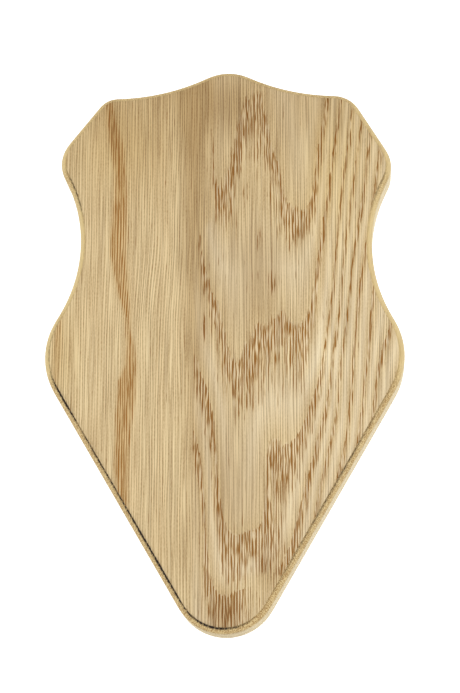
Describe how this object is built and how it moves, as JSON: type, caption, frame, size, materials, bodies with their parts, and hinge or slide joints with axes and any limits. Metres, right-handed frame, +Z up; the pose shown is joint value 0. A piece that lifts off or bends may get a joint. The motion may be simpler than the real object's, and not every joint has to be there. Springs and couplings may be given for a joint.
{
  "type": "antler trophy plaque",
  "caption": "Flat shield-shaped oak board with a routed edge moulding, to fix a small pair of antlers to and hang on a wall.",
  "frame": {"origin": "on the flat back, just above the hanging slot, where the board bears against the wall", "axes": "+Z up along the board and its grain, +Y out of the back into the wall, +X to the right seen from the front"},
  "size_m": [0.123, 0.012, 0.1995],
  "materials": {
    "oak": "fine-sanded bare light oak, plain-sawn, with burn marks in the routed step"
  },
  "bodies": {
    "root": {"shield_board": "oak"}
  },
  "joints": []
}
